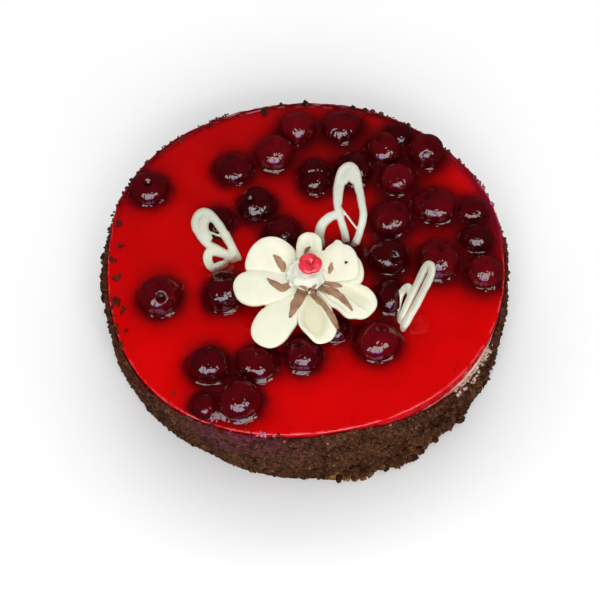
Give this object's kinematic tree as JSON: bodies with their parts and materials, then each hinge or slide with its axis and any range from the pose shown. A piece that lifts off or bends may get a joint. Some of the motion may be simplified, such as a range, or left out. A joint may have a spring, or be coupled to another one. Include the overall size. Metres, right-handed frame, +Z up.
{
  "type": "yogurt cream cake",
  "caption": "Round uncut yogurt cream cake with a red jelly top, whole pitted cherries, a chocolate crumb side, a piped cream flower and white chocolate filigree loops.",
  "frame": {"origin": "middle of the flat underside, at the middle of the box round the whole cake", "axes": "+Z up; -Y to the front, where the crumb side shows in the picture; +X to the right"},
  "size_m": [0.2272, 0.2296, 0.0764],
  "materials": {
    "sponge": "matte golden sponge crumb",
    "yogurt_cream": "smooth matte cream, stained pink near the jelly",
    "jelly": "wet gloss, saturated red, darker round the fruit",
    "crumbs": "coarse matte chocolate cake crumbs",
    "cherry": "dark maroon fruit under a wet glaze",
    "flower_cream": "soft satin piped cream, ivory",
    "jam": "glossy pinkish red piping jelly",
    "white_chocolate": "set white chocolate, satin",
    "milk_chocolate": "thin light brown chocolate streaks, matte"
  },
  "bodies": {
    "root": {"sponge_base": "sponge", "yogurt_cream": "yogurt_cream", "jelly_top": "jelly", "crumb_coat": "crumbs", "cherry_01": "cherry", "cherry_02": "cherry", "cherry_03": "cherry", "cherry_04": "cherry", "cherry_05": "cherry", "cherry_06": "cherry", "cherry_07": "cherry", "cherry_08": "cherry", "cherry_09": "cherry", "cherry_10": "cherry", "cherry_11": "cherry", "cherry_12": "cherry", "cherry_13": "cherry", "cherry_14": "cherry", "cherry_15": "cherry", "cherry_16": "cherry", "cherry_17": "cherry", "cherry_18": "cherry", "cherry_19": "cherry", "cherry_20": "cherry", "cherry_21": "cherry", "cherry_22": "cherry", "cherry_23": "cherry", "cherry_24": "cherry", "cherry_25": "cherry", "cherry_26": "cherry", "cherry_27": "cherry", "cherry_28": "cherry", "cherry_29": "cherry", "cherry_30": "cherry", "cherry_31": "cherry", "cherry_32": "cherry", "petal_6": "flower_cream", "petal_4": "flower_cream", "petal_2": "flower_cream", "petal_5": "flower_cream", "petal_3": "flower_cream", "petal_1": "flower_cream", "petal_7": "flower_cream", "rosette": "flower_cream", "jam_dot": "jam", "lace_left": "white_chocolate", "lace_back": "white_chocolate", "lace_right": "white_chocolate"}
  },
  "joints": []
}
